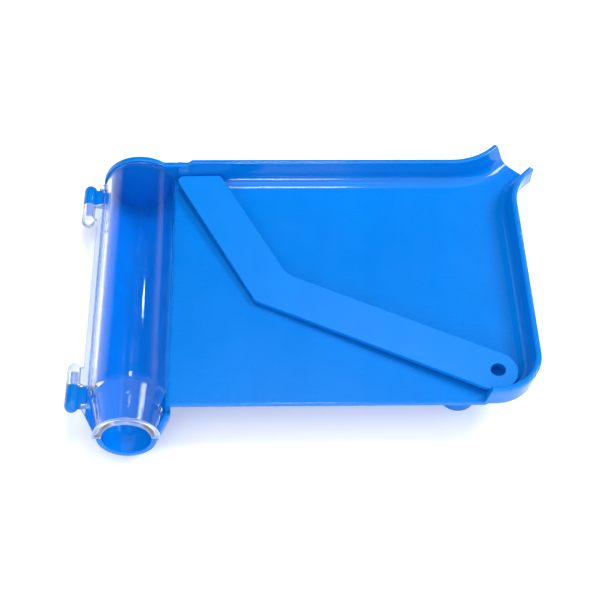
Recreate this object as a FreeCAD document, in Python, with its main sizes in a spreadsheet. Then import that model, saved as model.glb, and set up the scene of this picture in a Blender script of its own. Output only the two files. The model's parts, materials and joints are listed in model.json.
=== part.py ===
import FreeCAD, Part
import math
import os
import Sketcher

# A pharmacy counting tray: a flat counting platform with a raised rim, a pouring chute at its rear
# right corner, a round collection trough with a spout along its left side, a clear cover that is
# hinged on the far side of the trough, and a loose spatula that lies on the platform.
#
# Design axes: X = 0 and Y = 0 where the trough's axis passes the platform's front edge, Z = 0 on top
# of the platform, +X to the right, +Y to the rear. The whole part is then moved by the three frame
# cells, so that its origin is in the middle of its box, on the surface it stands on.

V = FreeCAD.Vector

SIZES = [
    # name, value, meaning (mm and degrees)
    ("tray_width", 189.0, "trough axis to the outer face of the right wall"),
    ("tray_depth", 143.5, "platform front edge to the outer face of the back wall"),
    ("floor_thick", 2.5, "platform floor"),
    ("wall_height", 12.0, "rim above the platform"),
    ("wall_thick", 2.8, "rim wall at its top"),
    ("wall_lean", 1.6, "how far the rim leans out over its height"),
    ("cove_radius", 5.5, "inner cove between floor and rim"),
    ("top_round", 0.9, "rounding on the rim's top edges"),
    ("under_round", 3.0, "rounding under the rim's outer face"),
    ("corner_radius", 21.6, "front corner, outer face at the top"),
    ("front_overhang", 2.0, "rim top in front of the platform's front edge"),
    ("return_run", 5.4, "straight run of the rim along the front"),
    ("return_slant", 2.4, "slant of the return's free end"),
    ("flare_radius", 30.0, "outer face where the rim bends out to the chute"),
    ("chute_width", 25.7, "chute, outside to outside at its top"),
    ("chute_run", 3.1, "straight chute at the top of its walls"),
    ("lip_reach", 2.6, "how far the chute's lip stands out past its wall tops"),
    ("step_drop", 2.0, "lower stretch of the back wall beside the trough"),
    ("step_run", 4.4, "length of the lower stretch"),
    ("step_ramp", 3.2, "length of the ramp up from it"),
    ("axis_drop", 5.0, "trough axis and split below the platform"),
    ("trough_radius", 16.75, "inside of the trough"),
    ("trough_wall", 2.5, "trough and spout wall"),
    ("edge_round", 2.0, "platform's edge at the trough"),
    ("end_thick", 3.0, "end wall of the trough"),
    ("spout_reach", 15.5, "outlet in front of the platform's front edge"),
    ("spout_start", 1.0, "cylindrical stretch before the spout's cone"),
    ("outlet_radius", 11.1, "bore of the outlet"),
    ("cover_inset", 1.05, "cover's outside in from the trough's outside"),
    ("cover_wall", 2.2, "cover wall"),
    ("cover_gap", 0.3, "cover above the rim and edge that it rests on"),
    ("rear_gap", 0.4, "cover to the trough's end wall"),
    ("shoulder_place", 5.0, "cover's shoulder behind the platform's front edge"),
    ("shoulder_drop", 1.2, "step in radius at the shoulder"),
    ("cone_inset", 0.6, "cover's cone in from the spout's outside, at the outlet"),
    ("lip_stand", 1.8, "rim round the cover's outlet end, out from the spout's outside"),
    ("lip_run", 1.5, "length of that rim"),
    ("flange_stand", 2.25, "cover flange out from the trough's outside"),
    ("flange_thick", 2.0, "cover flange"),
    ("hinge_room", 1.1, "hinge knuckles out from the cover's flange"),
    ("knuckle_radius", 3.3, "hinge knuckles"),
    ("knuckle_run", 13.2, "one knuckle from its flat to its round end"),
    ("knuckle_gap", 0.3, "between two knuckles of one hinge"),
    ("rear_hinge", 17.0, "rear hinge's meeting face in front of the back wall's outer face"),
    ("front_hinge", 13.2, "front hinge's meeting face behind the platform's front edge"),
    ("pin_radius", 1.6, "hinge pin"),
    ("pin_run", 8.0, "hinge pin beyond its knuckle"),
    ("pin_play", 0.05, "running clearance round the pin"),
    ("web_run", 10.2, "web that carries a knuckle, along the axis"),
    ("web_depth", 3.0, "web below the split"),
    ("web_rise", 1.2, "web above the split"),
    ("web_play", 0.5, "notch in the flange round a web"),
    ("foot_inset_side", 35.5, "foot centre from the right wall's outer face"),
    ("foot_inset_end", 20.0, "foot centre from the front edge and from the back wall"),
    ("foot_top_radius", 9.6, "foot at the platform"),
    ("foot_radius", 8.8, "foot at its sole"),
    ("foot_round", 2.0, "rounding round the sole"),
    ("blade_width", 20.8, "spatula, both arms"),
    ("spatula_thick", 2.5, "spatula"),
    ("handle_length", 125.2, "handle's round end to the bend, along the handle"),
    ("blade_length", 81.0, "bend to the middle of the blade's end"),
    ("bend_angle", 36.3, "turn between the two arms"),
    ("end_angle", 62.1, "blade's end, from the blade's own line"),
    ("hole_radius", 3.5, "hanging hole"),
    ("hole_offset", 0.9, "hole from the handle's middle line"),
    ("end_back", 1.0, "handle's round end, centre short of the hole"),
    ("bend_inner_round", 12.0, "spatula's inner bend"),
    ("bend_outer_round", 4.0, "spatula's outer bend"),
    ("tip_round", 3.0, "corners of the blade's end"),
    ("spatula_edge", 0.5, "rounding on the spatula's edges"),
    ("handle_side_room", 4.3, "handle's half width round the hole to the right wall's cove"),
    ("handle_front_room", 1.0, "the same to the cove of the rim's front"),
    ("tip_lift", 3.2, "spatula's underside over the floor at the blade's end"),
    ("hole_lift", 3.0, "the same at the hanging hole"),
    ("bend_lift", 0.3, "the same at the outer bend"),
    ("rest_gap", 0.3, "lowers the height where the blade's end meets the back cove, so that it stays clear"),
]

doc = FreeCAD.newDocument("counting_tray")
sheet = doc.addObject("Spreadsheet::Sheet", "dims")


class Size:
    """A length or an angle in degrees: its number, and the same thing as an expression on the sheet."""

    def __init__(self, value, text):
        self.value = value
        self.text = text

    def __add__(self, other):
        other = as_size(other)
        return Size(self.value + other.value, "(%s + %s)" % (self.text, other.text))

    def __sub__(self, other):
        other = as_size(other)
        return Size(self.value - other.value, "(%s - %s)" % (self.text, other.text))

    def __mul__(self, other):
        other = as_size(other)
        return Size(self.value * other.value, "(%s * %s)" % (self.text, other.text))

    def __truediv__(self, other):
        other = as_size(other)
        return Size(self.value / other.value, "(%s / %s)" % (self.text, other.text))

    def __neg__(self):
        return Size(-self.value, "(0 - %s)" % self.text)


def as_size(number):
    return number if isinstance(number, Size) else Size(float(number), repr(float(number)))


def root(size):
    return Size(math.sqrt(size.value), "sqrt(%s)" % size.text)


def sine(angle):
    return Size(math.sin(math.radians(angle.value)), "sin(%s)" % angle.text)


def cosine(angle):
    return Size(math.cos(math.radians(angle.value)), "cos(%s)" % angle.text)


def tangent(angle):
    return Size(math.tan(math.radians(angle.value)), "tan(%s)" % angle.text)


def set_cell(row, name, value):
    sheet.set("A%d" % row, name)
    sheet.set("B%d" % row, repr(float(value)))
    sheet.setAlias("B%d" % row, name)
    return Size(float(value), "dims.%s" % name)


class Sizes:
    """Every sheet value by name."""


D = Sizes()
for row, (name, value, meaning) in enumerate(SIZES, start=1):
    setattr(D, name, set_cell(row, name, value))
    sheet.set("C%d" % row, meaning)
FRAME = []
for offset, name in enumerate(("frame_x", "frame_y", "frame_z"), start=1):
    FRAME.append(set_cell(len(SIZES) + offset, name, 0.0))
doc.recompute()

# Sizes that several pieces share.
ZERO = as_size(0)
SPLIT = -D.axis_drop                                  # height of the trough axis
TROUGH_OUTER = D.trough_radius + D.trough_wall
OUTLET_OUTER = D.outlet_radius + D.trough_wall
RIM_SPAN = D.wall_thick + D.wall_lean + D.cove_radius   # rim profile, outer top face to the flat floor
CHUTE_TURN = as_size(45)                              # the chute points halfway between two walls
FRONT_FACE = -D.front_overhang                        # outer top face of the front return
REAR_END = D.tray_depth - D.end_thick                 # front face of the trough's end wall
FLARE_CUT = root(as_size(2)) * D.chute_width / 2 + D.flare_radius * (root(as_size(2)) - 1)
FLARE_X = D.tray_width - FLARE_CUT                    # where the back wall bends out to the chute
FLARE_Y = D.tray_depth - FLARE_CUT                    # where the right wall does
CORNER_X = D.tray_width - D.corner_radius             # centre of the front corner
CORNER_Y = FRONT_FACE + D.corner_radius
COVER_OUTER = TROUGH_OUTER - D.cover_inset
COVER_INNER = COVER_OUTER - D.cover_wall
FLANGE_REACH = TROUGH_OUTER + D.flange_stand
HINGE_REACH = FLANGE_REACH + D.hinge_room + D.knuckle_radius   # hinge axis from the trough axis
REAR_SPLIT = D.tray_depth - D.rear_hinge
SOLE = SPLIT - TROUGH_OUTER                           # height of the surface that the tray stands on
CLEAR = 4                                             # a cutter's length, in times what it cuts through
PICK = 0.01                                           # mm, for telling one edge from another

parts = []


# ---- sketches -------------------------------------------------------------------------------------

def new_body(label):
    body = doc.addObject("PartDesign::Body", label + "_body")
    body.Label = label
    parts.append(body)
    return body


def plane_of(body, role):
    for feature in body.Origin.OriginFeatures:
        if feature.Role == role:
            return feature
    raise ValueError(role)


def arc_between(start, end, radius, left):
    """Arc from start to end, shorter way round, that turns left or right as it goes."""
    chord = end - start
    middle = (start + end) * 0.5
    across = V(-chord.y, chord.x, 0) / chord.Length
    rise = math.sqrt(max(radius ** 2 - (chord.Length / 2) ** 2, 0.0))
    centre = middle + across * (rise if left else -rise)
    first, last = (start, end) if left else (end, start)
    angles = [math.atan2(p.y - centre.y, p.x - centre.x) for p in (first, last)]
    circle = Part.Circle(centre, V(0, 0, 1), radius)
    return Part.ArcOfCircle(circle, angles[0], angles[1])


def outline(body, name, role, corners):
    """Closed sketch on one of the body's planes. A corner is (x, y) where a straight side starts, or
    (x, y, radius) where an arc starts: a left turn for a positive radius, a right turn for a negative."""
    sketch = body.newObject("Sketcher::SketchObject", name)
    sketch.AttachmentSupport = (plane_of(body, role), [""])
    sketch.MapMode = "FlatFace"
    points = [V(as_size(c[0]).value, as_size(c[1]).value, 0) for c in corners]
    ends = []
    for index, corner in enumerate(corners):
        start = points[index]
        end = points[(index + 1) % len(points)]
        if len(corner) == 2:
            sketch.addGeometry(Part.LineSegment(start, end), False)
            ends.append((1, 2))
        else:
            left = corner[2].value > 0
            sketch.addGeometry(arc_between(start, end, abs(corner[2].value), left), False)
            ends.append((1, 2) if left else (2, 1))
    for index, corner in enumerate(corners):
        before = index - 1 if index else len(corners) - 1
        sketch.addConstraint(
            Sketcher.Constraint("Coincident", before, ends[before][1], index, ends[index][0]))
        for kind, size in (("DistanceX", corner[0]), ("DistanceY", corner[1])):
            size = as_size(size)
            number = sketch.addConstraint(
                Sketcher.Constraint(kind, -1, 1, index, ends[index][0], size.value))
            sketch.setExpression("Constraints[%d]" % number, size.text)
        if len(corner) == 3:
            radius = corner[2] if corner[2].value > 0 else -corner[2]
            number = sketch.addConstraint(Sketcher.Constraint("Radius", index, radius.value))
            sketch.setExpression("Constraints[%d]" % number, radius.text)
    return sketch


def circle_sketch(body, name, x, y, radius):
    sketch = body.newObject("Sketcher::SketchObject", name)
    sketch.AttachmentSupport = (plane_of(body, "XY_Plane"), [""])
    sketch.MapMode = "FlatFace"
    x = as_size(x)
    y = as_size(y)
    sketch.addGeometry(Part.Circle(V(x.value, y.value, 0), V(0, 0, 1), radius.value), False)
    for kind, size in (("DistanceX", x), ("DistanceY", y)):
        number = sketch.addConstraint(Sketcher.Constraint(kind, -1, 1, 0, 3, size.value))
        sketch.setExpression("Constraints[%d]" % number, size.text)
    number = sketch.addConstraint(Sketcher.Constraint("Radius", 0, radius.value))
    sketch.setExpression("Constraints[%d]" % number, radius.text)
    return sketch


def extrude(body, kind, sketch, length, backwards=False):
    """A Pad or a Pocket of one sketch."""
    feature = body.newObject("PartDesign::" + kind, sketch.Name + "_" + kind.lower())
    feature.Profile = sketch
    feature.Length = length.value
    feature.setExpression("Length", length.text)
    feature.Reversed = backwards
    sketch.Visibility = False
    return feature


def through_cut(body, sketch, length):
    """A Pocket that runs both ways from its sketch."""
    feature = extrude(body, "Pocket", sketch, length)
    feature.Midplane = True


def revolve(body, sketch, angle, backwards=False):
    feature = body.newObject("PartDesign::Revolution", sketch.Name + "_turn")
    feature.Profile = sketch
    feature.ReferenceAxis = (sketch, ["V_Axis"])
    feature.Angle = as_size(angle).value
    feature.Reversed = backwards


def place(item, x, y, z, turn=0.0):
    """Puts a sub-part at a design position, turned about +Z, less the frame cells."""
    item.Placement = FreeCAD.Placement(V(), FreeCAD.Rotation(V(0, 0, 1), turn))
    for axis, size, frame in zip("xyz", (x, y, z), FRAME):
        item.setExpression("Placement.Base." + axis, (as_size(size) - frame).text)


# ---- platform and rim -----------------------------------------------------------------------------

def rim_corners(start, way):
    """The rim's cross-section, leaning outward, with its cove and the strip of floor under the cove.
    It starts at start and spans in the direction of way, which is 1 or -1."""
    def at(across, height, radius=None):
        point = (start + across * way, height)
        return point if radius is None else point + (radius * way,)

    base = D.under_round - D.floor_thick
    inner = D.wall_thick + D.wall_lean
    return [
        at(D.wall_lean, base),
        at(ZERO, D.wall_height - D.top_round, -D.top_round),
        at(D.top_round, D.wall_height),
        at(D.wall_thick - D.top_round, D.wall_height, -D.top_round),
        at(D.wall_thick, D.wall_height - D.top_round),
        at(inner, D.cove_radius, D.cove_radius),
        at(RIM_SPAN, ZERO),
        at(RIM_SPAN, -D.floor_thick),
        at(D.wall_lean + D.under_round, -D.floor_thick, -D.under_round),
    ]


def rim_straight(label, length, x, y, turn):
    body = new_body(label)
    sketch = outline(body, label + "_profile", "XZ_Plane", rim_corners(ZERO, 1))
    extrude(body, "Pad", sketch, length, backwards=True)
    place(body, x, y, 0, turn)
    return body


def rim_bend(label, radius, way, angle, x, y, turn, backwards):
    """A bend of the rim about a vertical line at x, y. Its floor faces away from the line for a way of
    1, and towards it for -1."""
    body = new_body(label)
    sketch = outline(body, label + "_profile", "XZ_Plane", rim_corners(radius, way))
    revolve(body, sketch, angle, backwards)
    place(body, x, y, 0, turn)


def make_platform():
    body = new_body("counting_platform")
    inner = D.flare_radius + RIM_SPAN                 # flares, measured at the edge of the flat floor
    return_end = CORNER_X - D.return_run
    right = D.tray_width - RIM_SPAN
    back = D.tray_depth - RIM_SPAN
    slope = cosine(CHUTE_TURN)
    corners = [
        (TROUGH_OUTER, ZERO),
        (return_end, ZERO),
        (return_end, FRONT_FACE + RIM_SPAN),
        (CORNER_X, FRONT_FACE + RIM_SPAN, D.corner_radius - RIM_SPAN),
        (right, CORNER_Y),
        (right, FLARE_Y, -inner),
        (D.tray_width + D.flare_radius - inner * slope, FLARE_Y + inner * slope),
        (FLARE_X + inner * slope, D.tray_depth + D.flare_radius - inner * slope, -inner),
        (FLARE_X, back),
        (TROUGH_OUTER, back),
    ]
    sketch = outline(body, "platform_outline", "XY_Plane", corners)
    extrude(body, "Pad", sketch, D.floor_thick, backwards=True)
    place(body, 0, 0, 0)


def make_back_wall():
    """Beside the trough the wall is lower, and a ramp leads up from there. The cutter carries the ramp
    on as far above the rim as the step is below it."""
    body = rim_straight("back_wall", FLARE_X - TROUGH_OUTER, TROUGH_OUTER, D.tray_depth, -90)
    low = D.wall_height - D.step_drop
    above = D.wall_height + D.step_drop
    corners = [
        (-D.step_run, low),
        (D.step_run, low),
        (D.step_run + D.step_ramp + D.step_ramp, above),
        (-D.step_run, above),
    ]
    sketch = outline(body, "back_wall_step", "YZ_Plane", corners)
    through_cut(body, sketch, D.wall_thick * CLEAR)


def make_front_return():
    """The rim's short run along the front, with its free end slanting down towards the platform. The
    cutter carries the slant on to twice the wall's height."""
    run = D.return_run
    body = rim_straight("front_return_wall", run, CORNER_X, FRONT_FACE, 90)
    top = D.wall_height + D.wall_height
    corners = [
        (run, ZERO),
        (run + D.wall_height, ZERO),
        (run + D.wall_height, top),
        (run - D.return_slant - D.return_slant, top),
    ]
    sketch = outline(body, "return_slant_cut", "YZ_Plane", corners)
    through_cut(body, sketch, RIM_SPAN * CLEAR)


def mirrored(corners):
    """An open outline as a mirror shows it, listed from its last corner back to its first."""
    other_side = []
    for index in range(len(corners) - 1, -1, -1):
        arc = corners[index - 1][2:] if index else ()
        other_side.append((-corners[index][0], corners[index][1]) + arc)
    return other_side


def make_pour_chute():
    """The channel between the two flared walls, cut off along a plane that leans back, so that the lip
    stands out past the tops of the walls."""
    body = new_body("pour_chute")
    wall = rim_corners(-D.chute_width / 2, 1)
    left_half = wall[8:] + wall[:7]                   # from the underside, over the wall, to the floor
    sketch = outline(body, "chute_profile", "XZ_Plane", left_half + mirrored(left_half))
    length = D.chute_run + D.lip_reach + D.lip_reach
    extrude(body, "Pad", sketch, length, backwards=True)
    lean = D.lip_reach / D.wall_height                # the cut's run for each millimetre of height
    above = D.wall_height + D.wall_height
    below = D.floor_thick + D.floor_thick
    corners = [
        (D.chute_run + D.lip_reach + lean * below, -below),
        (length + D.wall_height, -below),
        (length + D.wall_height, above),
        (D.chute_run + lean * (D.wall_height - above), above),
    ]
    mouth = outline(body, "chute_mouth_cut", "YZ_Plane", corners)
    through_cut(body, mouth, D.chute_width * CLEAR)
    slope = cosine(CHUTE_TURN)
    start = (FLARE_CUT - D.flare_radius * slope - D.flare_radius * (as_size(1) - slope)) / 2
    place(body, D.tray_width - start, D.tray_depth - start, 0, -CHUTE_TURN.value)


def make_rim():
    make_back_wall()
    rim_bend("rear_flare_wall", D.flare_radius, 1, CHUTE_TURN,
             FLARE_X, D.tray_depth + D.flare_radius, -90, False)
    make_pour_chute()
    rim_bend("right_flare_wall", D.flare_radius, 1, CHUTE_TURN,
             D.tray_width + D.flare_radius, FLARE_Y, 180, True)
    rim_straight("right_wall", FLARE_Y - CORNER_Y, D.tray_width, FLARE_Y, 180)
    rim_bend("front_corner_wall", D.corner_radius, -1, 90, CORNER_X, CORNER_Y, 0, True)
    make_front_return()


# ---- trough ---------------------------------------------------------------------------------------

def make_trough():
    """Half a pipe, whose right side rises past the split to the platform's top."""
    body = new_body("collection_trough")
    inner = D.trough_radius
    corners = [
        (-TROUGH_OUTER, ZERO, TROUGH_OUTER),
        (ZERO, -TROUGH_OUTER, TROUGH_OUTER),
        (TROUGH_OUTER, ZERO),
        (TROUGH_OUTER, D.axis_drop),
        (inner + D.edge_round, D.axis_drop, D.edge_round),
        (inner, D.axis_drop - D.edge_round),
        (inner, ZERO, -inner),
        (ZERO, -inner, -inner),
        (-inner, ZERO),
    ]
    sketch = outline(body, "trough_profile", "XZ_Plane", corners)
    extrude(body, "Pad", sketch, REAR_END, backwards=True)
    place(body, 0, 0, SPLIT)


def make_spout():
    body = new_body("trough_spout")
    corners = [
        (D.trough_radius, ZERO),
        (D.outlet_radius, -D.spout_reach),
        (OUTLET_OUTER, -D.spout_reach),
        (TROUGH_OUTER, -D.spout_start),
        (TROUGH_OUTER, ZERO),
    ]
    sketch = outline(body, "spout_profile", "XY_Plane", corners)
    revolve(body, sketch, 180)
    place(body, 0, 0, SPLIT)


def primitive(kind, name, turn=None, **sizes):
    """A Part primitive with its sizes bound, and its own place inside the sub-part it belongs to."""
    item = doc.addObject("Part::" + kind, name)
    spot = [as_size(sizes.pop(axis, 0)) for axis in ("x", "y", "z")]
    for prop, size in sizes.items():
        item.setExpression(prop, as_size(size).text)
    if turn is not None:
        item.Placement = FreeCAD.Placement(V(), turn)
    for axis, size in zip("xyz", spot):
        item.setExpression("Placement.Base." + axis, size.text)
    return item


ALONG_Y = FreeCAD.Rotation(V(1, 0, 0), -90)           # turns a cylinder's +Z to +Y
AGAINST_Y = FreeCAD.Rotation(V(1, 0, 0), 90)


def fuse(name, items):
    item = doc.addObject("Part::MultiFuse", name)
    item.Shapes = items
    return item


def cut(name, base, tool):
    item = doc.addObject("Part::Cut", name)
    item.Base = base
    item.Tool = tool
    return item


def finish(item, label, x=0, y=0, z=0):
    item.Label = label
    place(item, x, y, z)
    parts.append(item)


def make_end_wall():
    """A round plate that closes the trough and arches over the cover's rear edge, and runs on to the
    back wall beside it."""
    disc = primitive("Cylinder", "end_disc", ALONG_Y, Radius=TROUGH_OUTER, Height=D.end_thick, y=REAR_END)
    link = primitive("Box", "end_link", Length=TROUGH_OUTER, Width=D.end_thick,
                     Height=D.wall_height - D.step_drop + D.axis_drop, y=REAR_END)
    finish(fuse("end_wall_solid", [disc, link]), "trough_end_wall", z=SPLIT)


# ---- hinges ---------------------------------------------------------------------------------------

def knuckle_barrel(name, face, way):
    """Half a capsule from its flat face to its round end, along +Y for a way of 1 or -Y for -1."""
    turn = ALONG_Y if way > 0 else AGAINST_Y
    run = D.knuckle_run - D.knuckle_radius
    barrel = primitive("Cylinder", name + "_barrel", turn, Radius=D.knuckle_radius, Height=run,
                       x=-HINGE_REACH, y=face)
    dome = primitive("Sphere", name + "_dome", turn, Radius=D.knuckle_radius, Angle1=0,
                     x=-HINGE_REACH, y=face + run * way)
    return [barrel, dome]


def make_tray_knuckle(label, meeting, way):
    """A knuckle of the tray, with its web to the trough and the pin that reaches into the cover's
    knuckle."""
    face = meeting + D.knuckle_gap / 2 * way
    back = -D.pin_run if way > 0 else ZERO
    web_start = face if way > 0 else face - D.web_run
    pieces = knuckle_barrel(label, face, way)
    pieces.append(primitive("Cylinder", label + "_pin", ALONG_Y, Radius=D.pin_radius,
                            Height=D.pin_run + D.knuckle_radius, x=-HINGE_REACH,
                            y=face + back - (D.knuckle_radius if way < 0 else ZERO)))
    pieces.append(primitive("Box", label + "_web", Length=HINGE_REACH - D.trough_radius,
                            Width=D.web_run, Height=D.web_depth + D.web_rise,
                            x=-HINGE_REACH, y=web_start, z=-D.web_depth))
    trough = primitive("Cylinder", label + "_trough_room", ALONG_Y, Radius=TROUGH_OUTER,
                       Height=D.web_run * CLEAR, y=web_start - D.web_run)
    rim_room = primitive("Box", label + "_rim_room", Length=TROUGH_OUTER, Width=D.web_run * CLEAR,
                         Height=D.web_rise * CLEAR, x=-TROUGH_OUTER, y=web_start - D.web_run)
    room = fuse(label + "_room", [trough, rim_room])
    solid = cut(label + "_solid", fuse(label + "_whole", pieces), room)
    finish(solid, label, z=SPLIT)


def make_cover_knuckle(label, meeting, way):
    """A knuckle of the cover, bored for the pin, with its web to the flange."""
    face = meeting + D.knuckle_gap / 2 * way
    web_start = face if way > 0 else face - D.web_run
    pieces = knuckle_barrel(label, face, way)
    pieces.append(primitive("Box", label + "_web", Length=HINGE_REACH - FLANGE_REACH,
                            Width=D.web_run, Height=D.flange_thick,
                            x=-HINGE_REACH, y=web_start, z=D.cover_gap))
    turn = ALONG_Y if way > 0 else AGAINST_Y
    bore = primitive("Cylinder", label + "_bore", turn, Radius=D.pin_radius + D.pin_play,
                     Height=D.pin_run + D.knuckle_gap, x=-HINGE_REACH, y=face - D.knuckle_gap * way)
    finish(cut(label + "_solid", fuse(label + "_whole", pieces), bore), label, z=SPLIT)


def make_hinges():
    make_tray_knuckle("rear_hinge_knuckle", REAR_SPLIT, 1)
    make_cover_knuckle("cover_rear_knuckle", REAR_SPLIT, -1)
    make_cover_knuckle("cover_front_knuckle", D.front_hinge, 1)
    make_tray_knuckle("front_hinge_knuckle", D.front_hinge, -1)


# ---- cover ----------------------------------------------------------------------------------------

def web_notch(body, name, start):
    """Room in the flange for a web of the tray."""
    inner = TROUGH_OUTER - D.web_play
    corners = [
        (-HINGE_REACH, start - D.web_play),
        (-inner, start - D.web_play),
        (-inner, start + D.web_run + D.web_play),
        (-HINGE_REACH, start + D.web_run + D.web_play),
    ]
    sketch = outline(body, name, "XY_Plane", corners)
    extrude(body, "Pocket", sketch, D.flange_thick * CLEAR, backwards=True)


def make_cover():
    """A clear half pipe with a shoulder, a cone and a rimmed outlet end, and a flat flange on its hinge
    side. Its free side ends on the platform's edge, higher than the split."""
    body = new_body("cover_shell")
    rear = REAR_END - D.rear_gap
    neck = COVER_OUTER - D.shoulder_drop
    tip = OUTLET_OUTER - D.cone_inset
    lip = OUTLET_OUTER + D.lip_stand
    shoulder = D.shoulder_place
    corners = [
        (COVER_OUTER, rear),
        (COVER_INNER, rear),
        (COVER_INNER, shoulder + D.shoulder_drop),
        (COVER_INNER - D.shoulder_drop, shoulder),
        (D.outlet_radius, -D.spout_reach),
        (lip, -D.spout_reach),
        (lip, D.lip_run - D.spout_reach),
        (tip, D.lip_run - D.spout_reach),
        (neck, shoulder),
        (COVER_OUTER, shoulder + D.shoulder_drop),
    ]
    revolve(body, outline(body, "cover_profile", "XY_Plane", corners), 180, backwards=True)
    sunk = D.cover_wall / 4                           # the flange starts this deep in the shell's wall
    flange = [
        (-FLANGE_REACH, rear),
        (-FLANGE_REACH, D.spout_start),
        (-OUTLET_OUTER, -D.spout_reach),
        (sunk - tip, -D.spout_reach),
        (sunk - neck, shoulder),
        (sunk - neck, rear),
    ]
    extrude(body, "Pad", outline(body, "flange_outline", "XY_Plane", flange), D.flange_thick)
    free_side = [
        (D.outlet_radius, -D.cover_gap),
        (COVER_OUTER * CLEAR, -D.cover_gap),
        (COVER_OUTER * CLEAR, rear + D.end_thick),
        (D.outlet_radius, rear + D.end_thick),
    ]
    sketch = outline(body, "free_side", "XY_Plane", free_side)
    extrude(body, "Pocket", sketch, D.axis_drop, backwards=True)
    half_gap = D.knuckle_gap / 2
    web_notch(body, "rear_web_notch", REAR_SPLIT + half_gap)
    web_notch(body, "front_web_notch", D.front_hinge - half_gap - D.web_run)
    place(body, 0, 0, SPLIT + D.cover_gap)


# ---- feet -----------------------------------------------------------------------------------------

def make_foot(label, y):
    """A tapered peg under the platform, as deep as the trough."""
    body = new_body(label)
    height = TROUGH_OUTER + D.axis_drop - D.floor_thick
    corners = [
        (ZERO, ZERO),
        (D.foot_radius - D.foot_round, ZERO, D.foot_round),
        (D.foot_radius, D.foot_round),
        (D.foot_top_radius, height),
        (ZERO, height),
    ]
    revolve(body, outline(body, label + "_profile", "XZ_Plane", corners), 360)
    place(body, D.tray_width - D.foot_inset_side, y, SOLE)


# ---- spatula --------------------------------------------------------------------------------------

def make_spatula():
    """Two flat arms with a bend between them, a round handle end with a hanging hole, and a blade whose
    end is cut aslant. Its own axes start at the hole, with +X pointing off the handle's end. It lies
    tilted: the blade's end leans on the back cove, the handle's end is raised, and the outer bend is
    close to the floor. The turn on the platform follows from where the blade's end meets the cove."""
    body = new_body("spatula")
    half = D.blade_width / 2
    middle = -D.hole_offset                           # the handle's middle line
    bend_x = half - D.end_back - D.handle_length
    mitre = half * tangent(D.bend_angle / 2)
    along = (-cosine(D.bend_angle), sine(D.bend_angle))
    normal = (sine(D.bend_angle), cosine(D.bend_angle))
    skew = half / tangent(D.end_angle)
    upper_end = (bend_x + along[0] * (D.blade_length - skew) + normal[0] * half,
                 middle + along[1] * (D.blade_length - skew) + normal[1] * half)
    lower_end = (bend_x + along[0] * (D.blade_length + skew) - normal[0] * half,
                 middle + along[1] * (D.blade_length + skew) - normal[1] * half)
    corners = [
        (-D.end_back, middle - half, half),
        (half - D.end_back, middle, half),
        (-D.end_back, middle + half),
        (bend_x + mitre, middle + half),
        upper_end,
        lower_end,
        (bend_x - mitre, middle - half),
    ]
    sketch = outline(body, "spatula_outline", "XY_Plane", corners)
    pad = extrude(body, "Pad", sketch, D.spatula_thick)
    doc.recompute()
    uprights = {
        "bend_inner_round": (corners[3], D.bend_inner_round),
        "tip_round_upper": (upper_end, D.tip_round),
        "tip_round_lower": (lower_end, D.tip_round),
        "bend_outer_round": (corners[6], D.bend_outer_round),
    }
    base = pad
    for name, (corner, radius) in uprights.items():
        spot = V(corner[0].value, corner[1].value, D.spatula_thick.value / 2)
        base = round_edges(body, name, base, radius,
                           lambda edge: edge.CenterOfMass.distanceToPoint(spot) < PICK)
    flats = (0.0, D.spatula_thick.value)
    round_edges(body, "spatula_edges", base, D.spatula_edge,
                lambda edge: edge.BoundBox.ZLength < PICK
                and min(abs(edge.BoundBox.ZMin - z) for z in flats) < PICK)
    hole = circle_sketch(body, "hanging_hole", 0, 0, D.hole_radius)
    through_cut(body, hole, D.spatula_thick * CLEAR)
    lay_spatula(body, upper_end, lower_end, corners[6])


def round_edges(body, name, base, radius, wanted):
    """A fillet on those edges of the base feature that pass the test."""
    names = ["Edge%d" % number for number, edge in enumerate(base.Shape.Edges, start=1) if wanted(edge)]
    if not names:
        raise ValueError("no edge for " + name)
    feature = body.newObject("PartDesign::Fillet", name)
    feature.Base = (base, names)
    feature.Radius = radius.value
    feature.setExpression("Radius", radius.text)
    doc.recompute()
    return feature


def cove_reach(lift):
    """How far the rim's cove is cut back at a height above the floor."""
    return root(D.cove_radius * (lift + lift) - lift * lift)


def lay_spatula(body, upper_end, lower_end, outer_bend):
    """Works out the spatula's turn and tilt from its three points of rest. The turn stops at the end
    corner that comes to the back wall's cove first."""
    hole_inset = RIM_SPAN - cove_reach(D.hole_lift) + D.blade_width / 2
    hole_x = D.tray_width - hole_inset - D.handle_side_room
    hole_y = FRONT_FACE + hole_inset + D.handle_front_room
    tips = [V(end[0].value, end[1].value, 0) for end in (upper_end, lower_end)]
    tip = (tips[0] + tips[1]) * 0.5
    bend = V(outer_bend[0].value, outer_bend[1].value, 0)
    rise = D.tray_depth - RIM_SPAN + cove_reach(D.tip_lift - D.rest_gap) - hole_y
    rounding = (tips[1] - tips[0]).normalize() * D.tip_round.value
    turns = []
    for corner in (tips[0] + rounding, tips[1] - rounding):
        reach = math.asin(rise.value / corner.Length)
        turns.append(math.pi - reach - math.atan2(corner.y, corner.x))
    lifts = [D.tip_lift.value - D.hole_lift.value, D.bend_lift.value - D.hole_lift.value]
    area = tip.x * bend.y - tip.y * bend.x
    slope_x = (lifts[0] * bend.y - lifts[1] * tip.y) / area
    slope_y = (lifts[1] * tip.x - lifts[0] * bend.x) / area
    tilt = FreeCAD.Rotation(V(1, 0, slope_x), V(0, 1, slope_y), V(-slope_x, -slope_y, 1), "ZXY")
    swing = FreeCAD.Rotation(V(0, 0, 1), math.degrees(max(turns)))
    place(body, hole_x, hole_y, D.hole_lift)
    body.Placement = FreeCAD.Placement(body.Placement.Base, swing.multiply(tilt))


# ---- the whole part -------------------------------------------------------------------------------

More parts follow.
